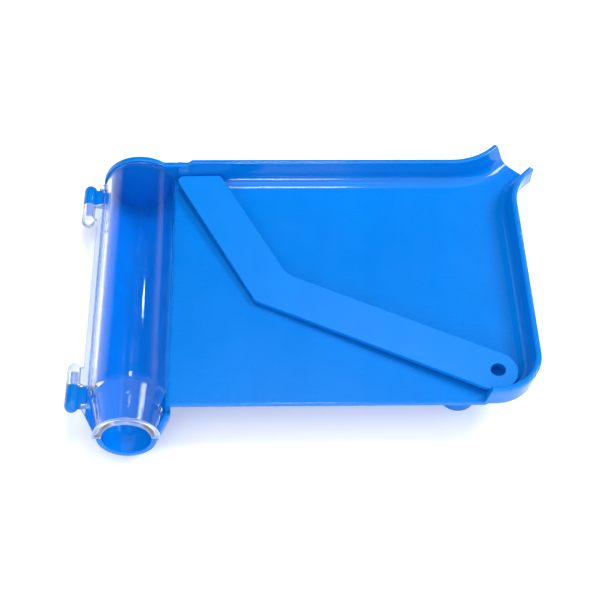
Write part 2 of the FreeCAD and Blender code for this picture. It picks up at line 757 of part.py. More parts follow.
def overall_box():
    box = FreeCAD.BoundBox()
    for item in parts:
        box.add(item.Shape.optimalBoundingBox(False, False))
    return box


def set_frame(box):
    """Moves the origin to the middle of the box, on the surface that the tray stands on."""
    values = (box.Center.x, box.Center.y, box.ZMin)
    for offset, value in enumerate(values, start=1):
        sheet.set("B%d" % (len(SIZES) + offset), repr(value))


def check_all():
    for item in doc.Objects:
        if "Invalid" in item.State or "Error" in item.State:
            raise RuntimeError("%s failed: %s" % (item.Name, item.State))
    for item in parts:
        if item.Shape.isNull() or not item.Shape.isValid() or len(item.Shape.Solids) != 1:
            raise RuntimeError("bad shape: " + item.Label)


make_platform()
make_rim()
make_trough()
make_spout()
make_end_wall()
make_hinges()
make_cover()
make_foot("front_foot", D.foot_inset_end)
make_foot("rear_foot", D.tray_depth - D.foot_inset_end)
make_spatula()
doc.recompute()
set_frame(overall_box())
doc.recompute()
check_all()

os.makedirs("parts", exist_ok=True)
for item in parts:
    item.Shape.exportStep("parts/%s.step" % item.Label)
    print("%-22s %10.1f mm3" % (item.Label, item.Shape.Volume))
box = overall_box()
print("overall %.2f x %.2f x %.2f mm" % (box.XLength, box.YLength, box.ZLength))
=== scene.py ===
import json
import math

import bmesh
import bpy
from mathutils import Matrix, Vector


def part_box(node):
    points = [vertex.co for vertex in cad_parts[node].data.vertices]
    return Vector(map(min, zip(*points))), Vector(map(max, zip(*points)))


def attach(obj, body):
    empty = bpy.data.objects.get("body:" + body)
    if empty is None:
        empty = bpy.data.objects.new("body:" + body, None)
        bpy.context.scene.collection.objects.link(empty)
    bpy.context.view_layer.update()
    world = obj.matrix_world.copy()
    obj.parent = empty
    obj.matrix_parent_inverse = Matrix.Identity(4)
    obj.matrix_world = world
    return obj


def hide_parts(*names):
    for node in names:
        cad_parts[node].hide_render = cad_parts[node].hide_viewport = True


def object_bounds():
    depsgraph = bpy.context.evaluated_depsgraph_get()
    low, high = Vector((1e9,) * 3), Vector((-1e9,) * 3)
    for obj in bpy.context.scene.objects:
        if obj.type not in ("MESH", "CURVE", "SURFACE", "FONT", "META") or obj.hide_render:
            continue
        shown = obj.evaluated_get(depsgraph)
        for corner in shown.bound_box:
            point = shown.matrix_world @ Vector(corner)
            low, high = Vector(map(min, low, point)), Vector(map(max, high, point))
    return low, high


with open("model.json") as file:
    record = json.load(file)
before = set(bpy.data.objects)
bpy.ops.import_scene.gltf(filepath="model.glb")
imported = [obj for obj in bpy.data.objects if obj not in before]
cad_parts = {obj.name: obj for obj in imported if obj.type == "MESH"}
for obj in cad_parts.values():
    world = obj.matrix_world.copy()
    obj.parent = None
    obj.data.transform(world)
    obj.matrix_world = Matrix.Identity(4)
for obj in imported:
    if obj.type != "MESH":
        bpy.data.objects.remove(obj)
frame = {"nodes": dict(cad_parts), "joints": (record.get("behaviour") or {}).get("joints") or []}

# A blue counting tray with a round trough and spout under a hinged clear cover, and a loose spatula.
# Shapes are worked out in millimetres on the design axes: X = 0 on the trough's axis, Y = 0 on the
# platform's front edge, Z = 0 on top of the platform. build() turns them into metres in the row frame.

CAD_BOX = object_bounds()
MM = 0.001
trough_low, trough_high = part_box("collection_trough")
ORIGIN = Vector(((trough_low.x + trough_high.x) / 2, trough_low.y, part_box("counting_platform")[1].z))


def span(node):
    """A CAD node's lowest and highest corners on the design axes."""
    return [(corner - ORIGIN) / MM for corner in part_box(node)]


# ---- sizes from the frame -------------------------------------------------------------------------

WIDTH = span("right_wall")[1].x              # outer face of the right wall
DEPTH = span("back_wall")[1].y               # outer face of the back wall
WALL = span("back_wall")[1].z                # height of the rim
FLOOR = -span("counting_platform")[0].z      # thickness of the platform
OUTER = span("collection_trough")[1].x       # outside radius of the trough
SPLIT = span("collection_trough")[0].z + OUTER
REAR = span("collection_trough")[1].y        # front face of the end wall
OUTLET = span("trough_spout")[0].y
FLARE_X = span("rear_flare_wall")[0].x
CORNER_X = span("front_corner_wall")[0].x
CORNER_Y = span("front_corner_wall")[1].y
CORNER_RADIUS = WIDTH - CORNER_X
FRONT = span("front_corner_wall")[0].y       # outer face of the rim along the front
RETURN_X = span("front_return_wall")[0].x
COVER_BASE = span("cover_shell")[0].z
COVER_OUTER = span("cover_shell")[1].z - COVER_BASE
COVER_REAR = span("cover_shell")[1].y
FLANGE = -span("cover_shell")[0].x
END_WALL_REAR = span("trough_end_wall")[1].y
HINGE = [joint for joint in frame["joints"] if joint["name"] == "cover_hinge"][0]
HINGE_X = ((Vector(HINGE["pos_m"]) - ORIGIN) / MM).x
KNUCKLE = (span("cover_rear_knuckle")[1].z - span("cover_rear_knuckle")[0].z) / 2

# ---- sizes of the mouldings' sections, the same as the CAD model's ---------------------------------

WALL_THICK = 2.8                             # rim wall at its top
WALL_LEAN = 1.6                              # how far the rim leans out over its height
COVE = 5.5                                   # inner cove between floor and rim
TOP_ROUND = 0.9                              # rounding on the rim's top edges
UNDER_ROUND = 3.0                            # rounding under the rim's outer face
RIM_SPAN = WALL_THICK + WALL_LEAN + COVE     # outer top face to the flat floor
FLARE_RADIUS = 30.0                          # outer face where the rim bends out to the chute
CHUTE_RUN = 3.1                              # straight chute at the top of its walls
LIP_REACH = 2.6                              # how far the chute's lip stands out past its wall tops
STEP_DROP = 2.0                              # lower stretch of the back wall beside the trough
STEP_RUN = 4.4                               # length of the lower stretch
STEP_RAMP = 3.2                              # length of the ramp up from it
RETURN_SLANT = 2.4                           # slant of the front return's free end
TROUGH_WALL = 2.5                            # trough and spout wall
PLATFORM_EDGE = 2.0                          # rounding of the platform's edge at the trough
SPOUT_START = 1.0                            # cylindrical stretch before the spout's cone
OUTLET_RADIUS = 11.1                         # bore of the outlet
COVER_WALL = 2.2
SHOULDER = 5.0                               # cover's shoulder behind the platform's front edge
SHOULDER_DROP = 1.2                          # step in radius at the shoulder
CONE_INSET = 0.6                             # cover's cone in from the spout's outside, at the outlet
LIP_STAND = 1.8                              # rim round the cover's outlet end, out from the spout
LIP_RUN = 1.5                                # length of that rim
SPOUT_TIP = OUTLET_RADIUS + TROUGH_WALL      # outside of the spout at the outlet
FREE_EDGE = 5.0                              # cover's free edge above its base, over the platform
FLANGE_THICK = 2.0                           # flange along the cover's hinged side
PIN = 1.6                                    # hinge pin's radius
PIN_PLAY = 0.05                              # running clearance round the pin
PIN_RUN = 8.0                                # pin beyond its knuckle
WEB_RUN = 10.2                               # web that carries a knuckle, along the hinge
WEB_DEPTH = 3.0                              # web below the split
WEB_RISE = 1.2                               # web above the split
WEB_PLAY = 0.5                               # notch in the flange round a web

# ---- sizes of the visual's own detail -------------------------------------------------------------

EDGE = 0.45                                  # rounding of edges that the moulds leave nearly sharp
STRIP = 0.8                                  # flat border that keeps the floor's shading flat
HAIR = 0.02                                  # keeps faces that would coincide just apart
MERGE = 0.004                                # points closer than this become one
SLIVER = 0.002                               # edges shorter than this are dissolved
MITRE_LIMIT = 0.3                            # stops an inset corner from running far out
SHARP = math.radians(40)                     # smooth shading stops at edges that turn more than this
WEB_IN_BARREL = 0.6                          # a web's start beside the hinge's axis, inside the barrel
WEB_IN_TROUGH = 1.2                          # a web's end inside the trough's wall
FLANGE_LAP = 0.9                             # how far the flange runs into the cover's knuckles
FLANGE_FILLET = 1.2                          # the most that the shell blends into the flange
BORE_EASE = 0.3                              # bevel between the cover's inside and the flange's underside
STEP_FRONT = -0.6                            # the cover's free edge steps up over the platform from here
STEP_REAR = -0.3                             # to here
LEVEL = 0.995                                # faces flatter than this have the counting face's satin
FROSTED = -18.6                              # the cover is frosted left of this X: flange and knuckles
COVER_IOR = 1.3                              # below a real plastic's, to keep its reflections faint


# ---- mesh tools -----------------------------------------------------------------------------------

def circle_points(centre, radius, start, end, steps):
    """Points of an arc in a plane, from one angle to another, in degrees."""
    angles = [math.radians(start + (end - start) * step / steps) for step in range(steps + 1)]
    return [(centre[0] + radius * math.cos(a), centre[1] + radius * math.sin(a)) for a in angles]


def smooth_step(value):
    """Eases from 0 to 1 as the value runs from 0 to 1."""
    value = min(max(value, 0.0), 1.0)
    return value * value * (3 - 2 * value)


def mix(a, b, share):
    """The number that lies the share of the way from a to b."""
    return a + (b - a) * share


def mix_lists(first, second, share):
    """The outline part of the way from the second one to the first."""
    return [(mix(b[0], a[0], share), mix(b[1], a[1], share)) for a, b in zip(first, second)]


def inset(outline, depth):
    """A closed outline moved inwards; it runs anticlockwise."""
    moved = []
    for index, point in enumerate(outline):
        before = Vector(outline[index - 1])
        here = Vector(point)
        after = Vector(outline[(index + 1) % len(outline)])
        first = (here - before).normalized()
        second = (after - here).normalized()
        normals = Vector((-first.y, first.x)), Vector((-second.y, second.x))
        spread = max(1 + normals[0].dot(normals[1]), MITRE_LIMIT)
        moved.append(tuple(here + (normals[0] + normals[1]) * (depth / spread)))
    return moved


def end_rounding(steps, radius=EDGE):
    """(short of the end, inset) pairs of the rings that round an extrusion's end; the end is the last."""
    turns = [math.radians(90 * step / steps) for step in range(steps + 1)]
    return [(radius * (1 - math.sin(a)), radius * (1 - math.cos(a))) for a in turns]


def rounded_ends(low, high, radius, steps=4):
    """(place, inset) pairs of the rings that give an extrusion rounded edges at both ends."""
    turns = end_rounding(steps, radius)
    start = [(low + short, depth) for short, depth in reversed(turns)]
    return start + [(high - short, depth) for short, depth in turns]


def soft_bend(start, corner, end, shares):
    """Points on a bend from start to end that is drawn towards a corner."""
    points = []
    for share in shares:
        first = Vector(start).lerp(Vector(corner), share)
        second = Vector(corner).lerp(Vector(end), share)
        points.append(tuple(first.lerp(second, share)))
    return points


def build(name, points, faces):
    """A piece from points in design millimetres: merged, closed, facing out, smooth but for its edges."""
    mesh = bpy.data.meshes.new(name)
    work = bmesh.new()
    corners = [work.verts.new(ORIGIN + Vector(point) * MM) for point in points]
    for face in faces:
        if len(set(face)) > 2:
            work.faces.new([corners[index] for index in face])
    bmesh.ops.remove_doubles(work, verts=work.verts, dist=MERGE * MM)
    bmesh.ops.dissolve_degenerate(work, edges=work.edges, dist=SLIVER * MM)
    bmesh.ops.recalc_face_normals(work, faces=work.faces)
    work.to_mesh(mesh)
    work.free()
    return show(name, mesh)


def show(name, mesh):
    """An object in the scene that shows a mesh, smooth but for its sharp edges."""
    mesh.polygons.foreach_set("use_smooth", [True] * len(mesh.polygons))
    mesh.set_sharp_from_angle(angle=SHARP)
    piece = bpy.data.objects.new(name, mesh)
    bpy.context.scene.collection.objects.link(piece)
    return piece


def skin(rings, closed=True, caps=(True, True)):
    """Points and faces of rings joined by quads. Each ring is a list of 3-D points."""
    count = len(rings[0])
    points = [point for ring in rings for point in ring]
    faces = []
    for ring in range(len(rings) - 1):
        for index in range(count if closed else count - 1):
            across = (index + 1) % count
            low, high = ring * count, (ring + 1) * count
            faces.append((low + index, low + across, high + across, high + index))
    if caps[0]:
        faces.append(tuple(range(count)))
    if caps[1]:
        faces.append(tuple(reversed(range((len(rings) - 1) * count, len(rings) * count))))
    return points, faces


def extrude_along_y(name, outline, low, high, radius):
    """A plate or bar with an (x, z) outline that runs anticlockwise, and rounded end edges."""
    rings = []
    for y, depth in rounded_ends(low, high, radius):
        rings.append([(x, y, z) for x, z in inset(outline, depth)])
    return build(name, *skin(rings))


def turn_about_hinge(name, outline, steps=40):
    """A solid of revolution about the hinge's axis, from (radius, y) points that start and end on it."""
    rings = []
    for step in range(steps):
        angle = math.tau * step / steps
        across, up = math.cos(angle), math.sin(angle)
        rings.append([(HINGE_X + r * across, y, SPLIT + r * up) for r, y in outline])
    rings.append(rings[0])
    return build(name, *skin(rings, closed=False, caps=(False, False)))


def union(name, pieces):
    """One solid from several that overlap."""
    base = pieces[0]
    for other in pieces[1:]:
        modifier = base.modifiers.new("union_" + other.name, "BOOLEAN")
        modifier.operation = "UNION"
        modifier.solver = "EXACT"
        modifier.object = other
    depsgraph = bpy.context.evaluated_depsgraph_get()
    mesh = bpy.data.meshes.new_from_object(base.evaluated_get(depsgraph))
    mesh.name = name
    for piece in pieces:
        bpy.data.objects.remove(piece)
    work = bmesh.new()
    work.from_mesh(mesh)
    bmesh.ops.remove_doubles(work, verts=work.verts, dist=MERGE * MM)
    work.to_mesh(mesh)
    work.free()
    return show(name, mesh)


# ---- platform and rim -----------------------------------------------------------------------------

def rim_section():
    """The rim from the floor over the wall to the underside, as (distance in from the outer face,
    height) points."""
    inner = WALL_THICK + WALL_LEAN
    low = UNDER_ROUND - FLOOR
    return (
        [(RIM_SPAN + STRIP, 0.0), (RIM_SPAN, 0.0)]
        + circle_points((RIM_SPAN, COVE), COVE, 270, 180, 12)[1:]
        + [(mix(inner, WALL_THICK, 0.5), mix(COVE, WALL - TOP_ROUND, 0.5))]
        + circle_points((WALL_THICK - TOP_ROUND, WALL - TOP_ROUND), TOP_ROUND, 0, 90, 6)
        + circle_points((TOP_ROUND, WALL - TOP_ROUND), TOP_ROUND, 90, 180, 6)
        + [(mix(0.0, WALL_LEAN, 0.5), mix(WALL - TOP_ROUND, low, 0.5))]
        + circle_points((WALL_LEAN + UNDER_ROUND, low), UNDER_ROUND, 180, 270, 8)
        + [(RIM_SPAN, -FLOOR), (RIM_SPAN + STRIP, -FLOOR)]
    )


def edge_section(count):
    """The platform's plain front edge, with as many points as the rim's section has."""
    reach = -FRONT                                    # the edge is this far in from the rim's outer face
    inner = RIM_SPAN + STRIP
    edge = (circle_points((reach + EDGE, -EDGE), EDGE, 90, 180, 7)
            + circle_points((reach + EDGE, EDGE - FLOOR), EDGE, 180, 270, 8)
            + [(RIM_SPAN, -FLOOR), (inner, -FLOOR)])
    steps = count - len(edge)
    return [(mix(inner, reach + EDGE, step / steps), 0.0) for step in range(steps)] + edge


def station(section, x, y, inward, lift=1.0):
    """One ring of the rim at an outer face point. lift lowers the wall's top; the cove stays."""
    scale = (WALL * lift - COVE) / (WALL - COVE)
    ring = []
    for across, height in section:
        if height > COVE:
            height = COVE + (height - COVE) * scale
        ring.append((x + inward[0] * across, y + inward[1] * across, height))
    return ring


def back_wall_rings(section):
    """From the trough to the flare: lower at first, then a ramp. The outer face leans less and less
    towards the end wall, which is upright."""
    upright = [(0.0 if h > UNDER_ROUND - FLOOR and a <= WALL_LEAN else a, h) for a, h in section]
    low = 1 - STEP_DROP / WALL
    places = []
    for share in (0, 0.3, 0.6, 0.9):
        places.append((OUTER + STEP_RUN * share, low))
    steps = 8
    for step in range(steps + 1):
        share = step / steps
        places.append((OUTER + STEP_RUN + STEP_RAMP * share, mix(low, 1.0, smooth_step(share))))
    places.append((OUTER + STEP_RUN + STEP_RAMP + TOP_ROUND, 1.0))
    rings = []
    for x, lift in places:
        lean = smooth_step((x - OUTER) / (STEP_RUN + STEP_RAMP))
        rings.append(station(mix_lists(section, upright, lean), x, DEPTH, (0, -1), lift))
    return rings


def flare_rings(section, steps=18):
    """The back wall's bend out to the chute."""
    rings = []
    for step in range(steps + 1):
        angle = math.radians(45 * step / steps)
        out = (math.sin(angle), -math.cos(angle))
        rings.append(station(section, FLARE_X + FLARE_RADIUS * out[0],
                             DEPTH + FLARE_RADIUS + FLARE_RADIUS * out[1], out))
    return rings


def chute_rings(start):
    """The left half of the chute, short of its mouth: the last flare ring moved on, further at the
    bottom than at the top, since the mouth slants."""
    forward = Vector((1, 1, 0)).normalized()
    rings = []
    for share in (0.3, 0.6, 0.85):
        rings.append([tuple(Vector(p) + forward * (mouth_run(p[2]) * share)) for p in start])
    return rings


def mouth_run(height):
    """How far the chute runs at a height above the floor."""
    return CHUTE_RUN + LIP_REACH * (1 - height / WALL)


def other_side(rings):
    """Rings mirrored across the chute's middle line and listed the other way round."""
    return [[(WIDTH + y - DEPTH, DEPTH + x - WIDTH, z) for x, y, z in ring] for ring in reversed(rings)]


def mouth_rings(start, steps=5):
    """The chute's whole U-shaped section at its mouth, pulled in ring by ring to round the edge."""
    forward = Vector((1, 1, 0)).normalized()
    sideways = Vector((1, -1, 0)).normalized()
    centre = Vector((WIDTH, DEPTH, 0))
    mirrored = other_side([start])[0]
    whole = start + list(reversed(mirrored))
    flat = [(sideways.dot(Vector(p) - centre), p[2]) for p in whole]
    run = forward.dot(Vector(start[0]) - centre)
    rings = []
    for short, depth in end_rounding(steps):
        pulled = inset(flat, depth)
        ring = []
        for (across, height), (_, full_height) in zip(pulled, flat):
            along = run + mouth_run(full_height) - short
            ring.append(tuple(centre + forward * along + sideways * across + Vector((0, 0, height))))
        rings.append(ring)
    return rings


def front_rings(section):
    """Right wall, front corner, the short return, its slanting end and the plain front edge."""
    rings = [station(section, WIDTH, CORNER_Y, (-1, 0))]
    corner_steps = 28
    for step in range(1, corner_steps + 1):
        angle = math.radians(-90 * step / corner_steps)
        out = (math.cos(angle), math.sin(angle))
        x = CORNER_X + CORNER_RADIUS * out[0]
        y = CORNER_Y + CORNER_RADIUS * out[1]
        rings.append(station(section, x, y, (-out[0], -out[1])))
    plain = edge_section(len(section))
    slant_steps = 10
    for step in range(slant_steps + 1):
        share = step / slant_steps
        x = RETURN_X + RETURN_SLANT - RETURN_SLANT * share
        rings.append(station(mix_lists(section, plain, 1 - smooth_step(share)), x, FRONT, (0, 1)))
    rings.append(station(plain, RETURN_X - RETURN_SLANT, FRONT, (0, 1)))
    rings.append(station(plain, OUTER, FRONT, (0, 1)))
    return rings


def make_platform():
    """One closed mesh: the rim is swept all round, the chute's two sides share its rings, and the floor
    and underside fill the middle."""
    section = rim_section()
    count = len(section)
    flare = flare_rings(section)
    chute = chute_rings(flare[-1])
    left = back_wall_rings(section) + flare
    right = other_side(flare) + front_rings(section)
    points, faces = [], []

    def add(rings):
        first = len(points)
        for ring in rings:
            points.extend(ring)
        return [first + number * len(rings[0]) for number in range(len(rings))]

    def join(starts, width):
        for low, high in zip(starts, starts[1:]):
            for index in range(width - 1):
                faces.append((low + index, low + index + 1, high + index + 1, high + index))

    left_at = add(left)
    join(left_at, count)
    right_at = add(right)
    join(right_at, count)
    # The chute: whole U-shaped rings, from the flares to the mouth.
    whole = [flare[-1] + list(reversed(other_side([flare[-1]])[0]))]
    whole += [ring + list(reversed(other_side([ring])[0])) for ring in chute]
    whole += mouth_rings(flare[-1])
    chute_at = add(whole)
    width = 2 * count
    for low, high in zip(chute_at, chute_at[1:]):
        for index in range(width):
            across = (index + 1) % width
            faces.append((low + index, low + across, high + across, high + index))
    faces.append(tuple(chute_at[-1] + index for index in range(width)))
    # Floor, underside and the flat end at the trough.
    faces.append(tuple(left_at) + tuple(right_at))
    faces.append(tuple(at + count - 1 for at in left_at + right_at))
    faces.append(tuple(range(left_at[0], left_at[0] + count))
                 + tuple(reversed(range(right_at[-1], right_at[-1] + count))))
    return build("tray_platform", points, faces)


# ---- trough ---------------------------------------------------------------------------------------

def trough_ring(y, outer, inner, raised, arc_steps=56):
    """The half pipe's section. Where it's raised, its right side rises to the platform's top."""
    start = math.degrees(math.asin(EDGE / outer))
    ring = circle_points((0, SPLIT), outer, -start, start - 180, arc_steps)
    ring += circle_points((-outer + EDGE, SPLIT - EDGE), EDGE, 180, 90, 4)[1:]
    ring += circle_points((-inner - EDGE, SPLIT - EDGE), EDGE, 90, 0, 4)
    start = math.degrees(math.asin(EDGE / inner))
    ring += circle_points((0, SPLIT), inner, start - 180, -start, arc_steps)[1:]
    if raised:
        ring += circle_points((inner + PLATFORM_EDGE, -PLATFORM_EDGE), PLATFORM_EDGE, 180, 90, 8)
        ring += [(outer, 0.0)]
    else:
        ring += circle_points((inner + EDGE, SPLIT - EDGE), EDGE, 180, 90, 4)
        ring += circle_points((outer - EDGE, SPLIT - EDGE), EDGE, 90, 0, 4)
    return [(x, y, z) for x, z in ring]


def smooth_cone(share):
    """A straight cone that eases into the pipe over its last stretch."""
    share = min(share, 1.0)
    ease = 0.12
    if share < 1 - ease:
        return share / (1 - ease / 2)
    left = (1 - share) / ease
    return 1 - left * left * ease / 2 / (1 - ease / 2)


def make_trough():
    """The half pipe and its spout, as one closed mesh."""
    inner = OUTER - TROUGH_WALL
    rings = []
    for short, depth in reversed(end_rounding(5)):
        rings.append(trough_ring(OUTLET + short, SPOUT_TIP - depth, OUTLET_RADIUS + depth, False))
    steps = 12
    for step in range(1, steps + 1):
        y = mix(OUTLET + EDGE, 0.0, step / steps)
        outer = mix(SPOUT_TIP, OUTER, smooth_cone((y - OUTLET) / (-SPOUT_START - OUTLET)))
        bore = mix(OUTLET_RADIUS, inner, smooth_cone((y - OUTLET) / -OUTLET))
        rings.append(trough_ring(y, outer, bore, False))
    rings.append(trough_ring(0.0, OUTER, inner, True))
    rings.append(trough_ring(REAR, OUTER, inner, True))
    return build("trough_and_spout", *skin(rings))


def make_end_wall():
    """The round plate behind the trough, with the stretch that runs on to the back wall."""
    top = WALL - STEP_DROP
    blend_turn = 4                                    # degrees of the disc that the blend takes up
    blend_run = 2.2                                   # how far past the disc the flat top starts
    blend_corner = 0.6                                # how far past it the bend's own corner lies
    meet = math.degrees(math.asin((top - SPLIT) / OUTER))
    disc = circle_points((0, SPLIT), OUTER, meet + blend_turn, 360, 110)
    side = [(OUTER, 0.0), (OUTER, top)]
    start = disc[0]
    flat = [(mix(OUTER, start[0] + blend_run, step / 3), top) for step in range(1, 4)]
    blend = soft_bend(flat[-1], (start[0] + blend_corner, top), start, [step / 6 for step in range(1, 6)])
    return extrude_along_y("trough_end_wall_plate", disc + side + flat + blend, REAR, END_WALL_REAR, EDGE)


# ---- hinges ---------------------------------------------------------------------------------------

def barrel_outline(face, way, end):
    """From the rim of a knuckle's flat face to the tip of its round end."""
    points = [(KNUCKLE - EDGE + r, face + way * (EDGE - y))
              for r, y in circle_points((0, 0), EDGE, 90, 0, 4)]
    dome = end - way * KNUCKLE
    return points + [(max(r, 0.0), dome + way * y) for r, y in circle_points((0, 0), KNUCKLE, 0, 90, 12)]


def tray_knuckle(label, node, way):
    """A knuckle of the tray with its pin, which reaches back past the flat face, and its web."""
    low, high = span(node)
    tip, end = (low.y, high.y) if way > 0 else (high.y, low.y)
    face = tip + way * PIN_RUN
    pin = [(0.0, tip)] + [(PIN - EDGE + r, tip + way * (EDGE - y))
                          for r, y in circle_points((0, 0), EDGE, 90, 0, 4)]
    pin.append((PIN, face))
    barrel = turn_about_hinge(label + "_barrel", pin + barrel_outline(face, way, end))
    web_low, web_high = sorted((face, face + way * WEB_RUN))
    bottom, top = SPLIT - WEB_DEPTH, SPLIT + WEB_RISE
    left = HINGE_X + WEB_IN_BARREL
    buried = WEB_IN_TROUGH - OUTER
    beside = -OUTER - HAIR
    outline = [(left, bottom), (buried, bottom), (buried, SPLIT - EDGE),
               (beside, SPLIT - EDGE), (beside, top), (left, top)]
    web = extrude_along_y(label + "_web", outline, web_low, web_high, EDGE)
    return union(label, [barrel, web])


def cover_knuckle(label, node, way):
    """A bored half capsule of the cover."""
    low, high = span(node)
    face, end = (low.y, high.y) if way > 0 else (high.y, low.y)
    bore = PIN + PIN_PLAY
    outline = [(0.0, face + way * PIN_RUN), (bore, face + way * PIN_RUN), (bore, face)]
    return turn_about_hinge(label, outline + barrel_outline(face, way, end))


# ---- cover ----------------------------------------------------------------------------------------

def cover_radii(y):
    """Outside and inside radius of the cover: pipe, shoulder, cone, and a rim round the outlet end."""
    neck = COVER_OUTER - SHOULDER_DROP
    inner = COVER_OUTER - COVER_WALL
    if y >= SHOULDER - EDGE:
        drop = SHOULDER_DROP * (1 - smooth_step((y - SHOULDER + EDGE) / (SHOULDER_DROP + 2 * EDGE)))
        return COVER_OUTER - drop, inner - drop
    share = (y - OUTLET) / (SHOULDER - EDGE - OUTLET)
    inside = mix(OUTLET_RADIUS, inner - SHOULDER_DROP, share)
    along = (y - OUTLET - LIP_RUN) / (SHOULDER - EDGE - OUTLET - LIP_RUN)
    cone = mix(SPOUT_TIP - CONE_INSET, neck, max(along, 0))
    rim = smooth_step((OUTLET + LIP_RUN + EDGE - y) / (2 * EDGE))
    return mix(cone, SPOUT_TIP + LIP_STAND, rim), inside


def flange_zones():
    """(from, to, reach) of the flange's stretches at the tray's webs and at the cover's knuckles."""
    rear_face = span("cover_rear_knuckle")[1].y
    front_face = span("cover_front_knuckle")[0].y
    rear_web = span("rear_hinge_knuckle")[0].y + PIN_RUN
    front_web = span("front_hinge_knuckle")[1].y - PIN_RUN - WEB_RUN
    notch = OUTER - WEB_PLAY
    knuckle = -HINGE_X - KNUCKLE + FLANGE_LAP
    return [
        (rear_web - WEB_PLAY, rear_web + WEB_RUN + WEB_PLAY, notch),
        (front_web - WEB_PLAY, front_web + WEB_RUN + WEB_PLAY, notch),
        (rear_face - WEB_RUN, rear_face - WEB_PLAY, knuckle),
        (front_face + WEB_PLAY, front_face + WEB_RUN, knuckle),
    ]


FLANGE_ZONES = flange_zones()


def flange_reach(y):
    """How far the flange reaches out: cut back round the tray's webs and run out to the knuckles."""
    reach = FLANGE
    if y < SPOUT_START:
        reach = mix(SPOUT_TIP, FLANGE, (y - OUTLET) / (SPOUT_START - OUTLET))
    for low, high, value in FLANGE_ZONES:
        inside = min(smooth_step((y - low) / EDGE), smooth_step((high - y) / EDGE))
        reach = mix(reach, value, inside)
    return reach


def cover_ring(y, free, pull=0.0, arc_steps=60):
    """The cover's section with its free edge at a height over its base. pull draws every face in."""
    outer, inner = cover_radii(y)
    outer -= pull
    inner += pull
    reach = max(flange_reach(y) - pull, outer + HAIR)
    round_edge = EDGE * 0.9
    low = pull
    top = FLANGE_THICK - pull
    free += pull
    ring = []
    # Free edge, from the inside round to the outside.
    inner_x = math.sqrt(inner ** 2 - free ** 2)
    outer_x = math.sqrt(outer ** 2 - free ** 2)
    ring += circle_points((inner_x + round_edge, free + round_edge), round_edge, 180, 270, 4)
    ring += circle_points((outer_x - round_edge, free + round_edge), round_edge, 270, 360, 4)
    start = math.degrees(math.asin((free + round_edge) / outer))
    fillet = min(FLANGE_FILLET, (reach - outer) * 0.8)
    end = 180 - math.degrees(math.asin(min((top + fillet) / outer, 1)))
    ring += circle_points((0, 0), outer, start, end, arc_steps)[1:]
    foot = ring[-1]
    # The blend down to the flange, and the flange's rounded edge.
    corner = (foot[0] - fillet * 0.12, top)
    ring += soft_bend(foot, corner, (foot[0] - fillet, top), [step / 4 for step in range(1, 5)])
    flat = reach + foot[0] - fillet
    tip = min(round_edge, flat * 0.9) if flat > HAIR / 2 else HAIR / 4
    ring += circle_points((-reach + tip, top - tip), tip, 90, 180, 4)
    ring += circle_points((-reach + tip, low + tip), tip, 180, 270, 4)
    ring += [(-inner - BORE_EASE, low)]
    start = 180 - math.degrees(math.asin((low + BORE_EASE) / inner))
    end = math.degrees(math.asin((free + round_edge) / inner))
    ring += circle_points((0, 0), inner, start, end, arc_steps)[:-1]
    return [(x, y, COVER_BASE + z) for x, z in ring]


def make_cover():
    """The clear shell with its flange, joined to its two bored knuckles."""
    stops = {OUTLET + EDGE, OUTLET + LIP_RUN + EDGE, SHOULDER - EDGE, SPOUT_START, COVER_REAR - EDGE}
    for low, high, _ in FLANGE_ZONES:
        for step in range(5):
            stops.add(low + EDGE * step / 4)
            stops.add(high - EDGE * step / 4)
    for step in range(9):
        stops.add(mix(OUTLET + LIP_RUN - EDGE, OUTLET + LIP_RUN + EDGE, step / 8))
        stops.add(mix(SHOULDER - EDGE, SHOULDER + SHOULDER_DROP + EDGE, step / 8))
    rings = []
    for short, depth in reversed(end_rounding(4)):
        rings.append(cover_ring(OUTLET + short, 0.0, depth))
    for y in sorted(stop for stop in stops if OUTLET + EDGE < stop < STEP_FRONT):
        rings.append(cover_ring(y, 0.0))
    rings.append(cover_ring(STEP_FRONT, 0.0))
    rings.append(cover_ring(STEP_REAR, FREE_EDGE))
    for y in sorted(stop for stop in stops if stop > STEP_REAR):
        rings.append(cover_ring(y, FREE_EDGE))
    for short, depth in end_rounding(4)[1:]:
        rings.append(cover_ring(COVER_REAR - short, FREE_EDGE, depth))
    shell = build("cover_shell_visual", *skin(rings))
    rear = cover_knuckle("cover_rear_barrel", "cover_rear_knuckle", -1)
    front = cover_knuckle("cover_front_barrel", "cover_front_knuckle", 1)
    return union("clear_cover", [shell, rear, front])


# ---- materials ------------------------------------------------------------------------------------

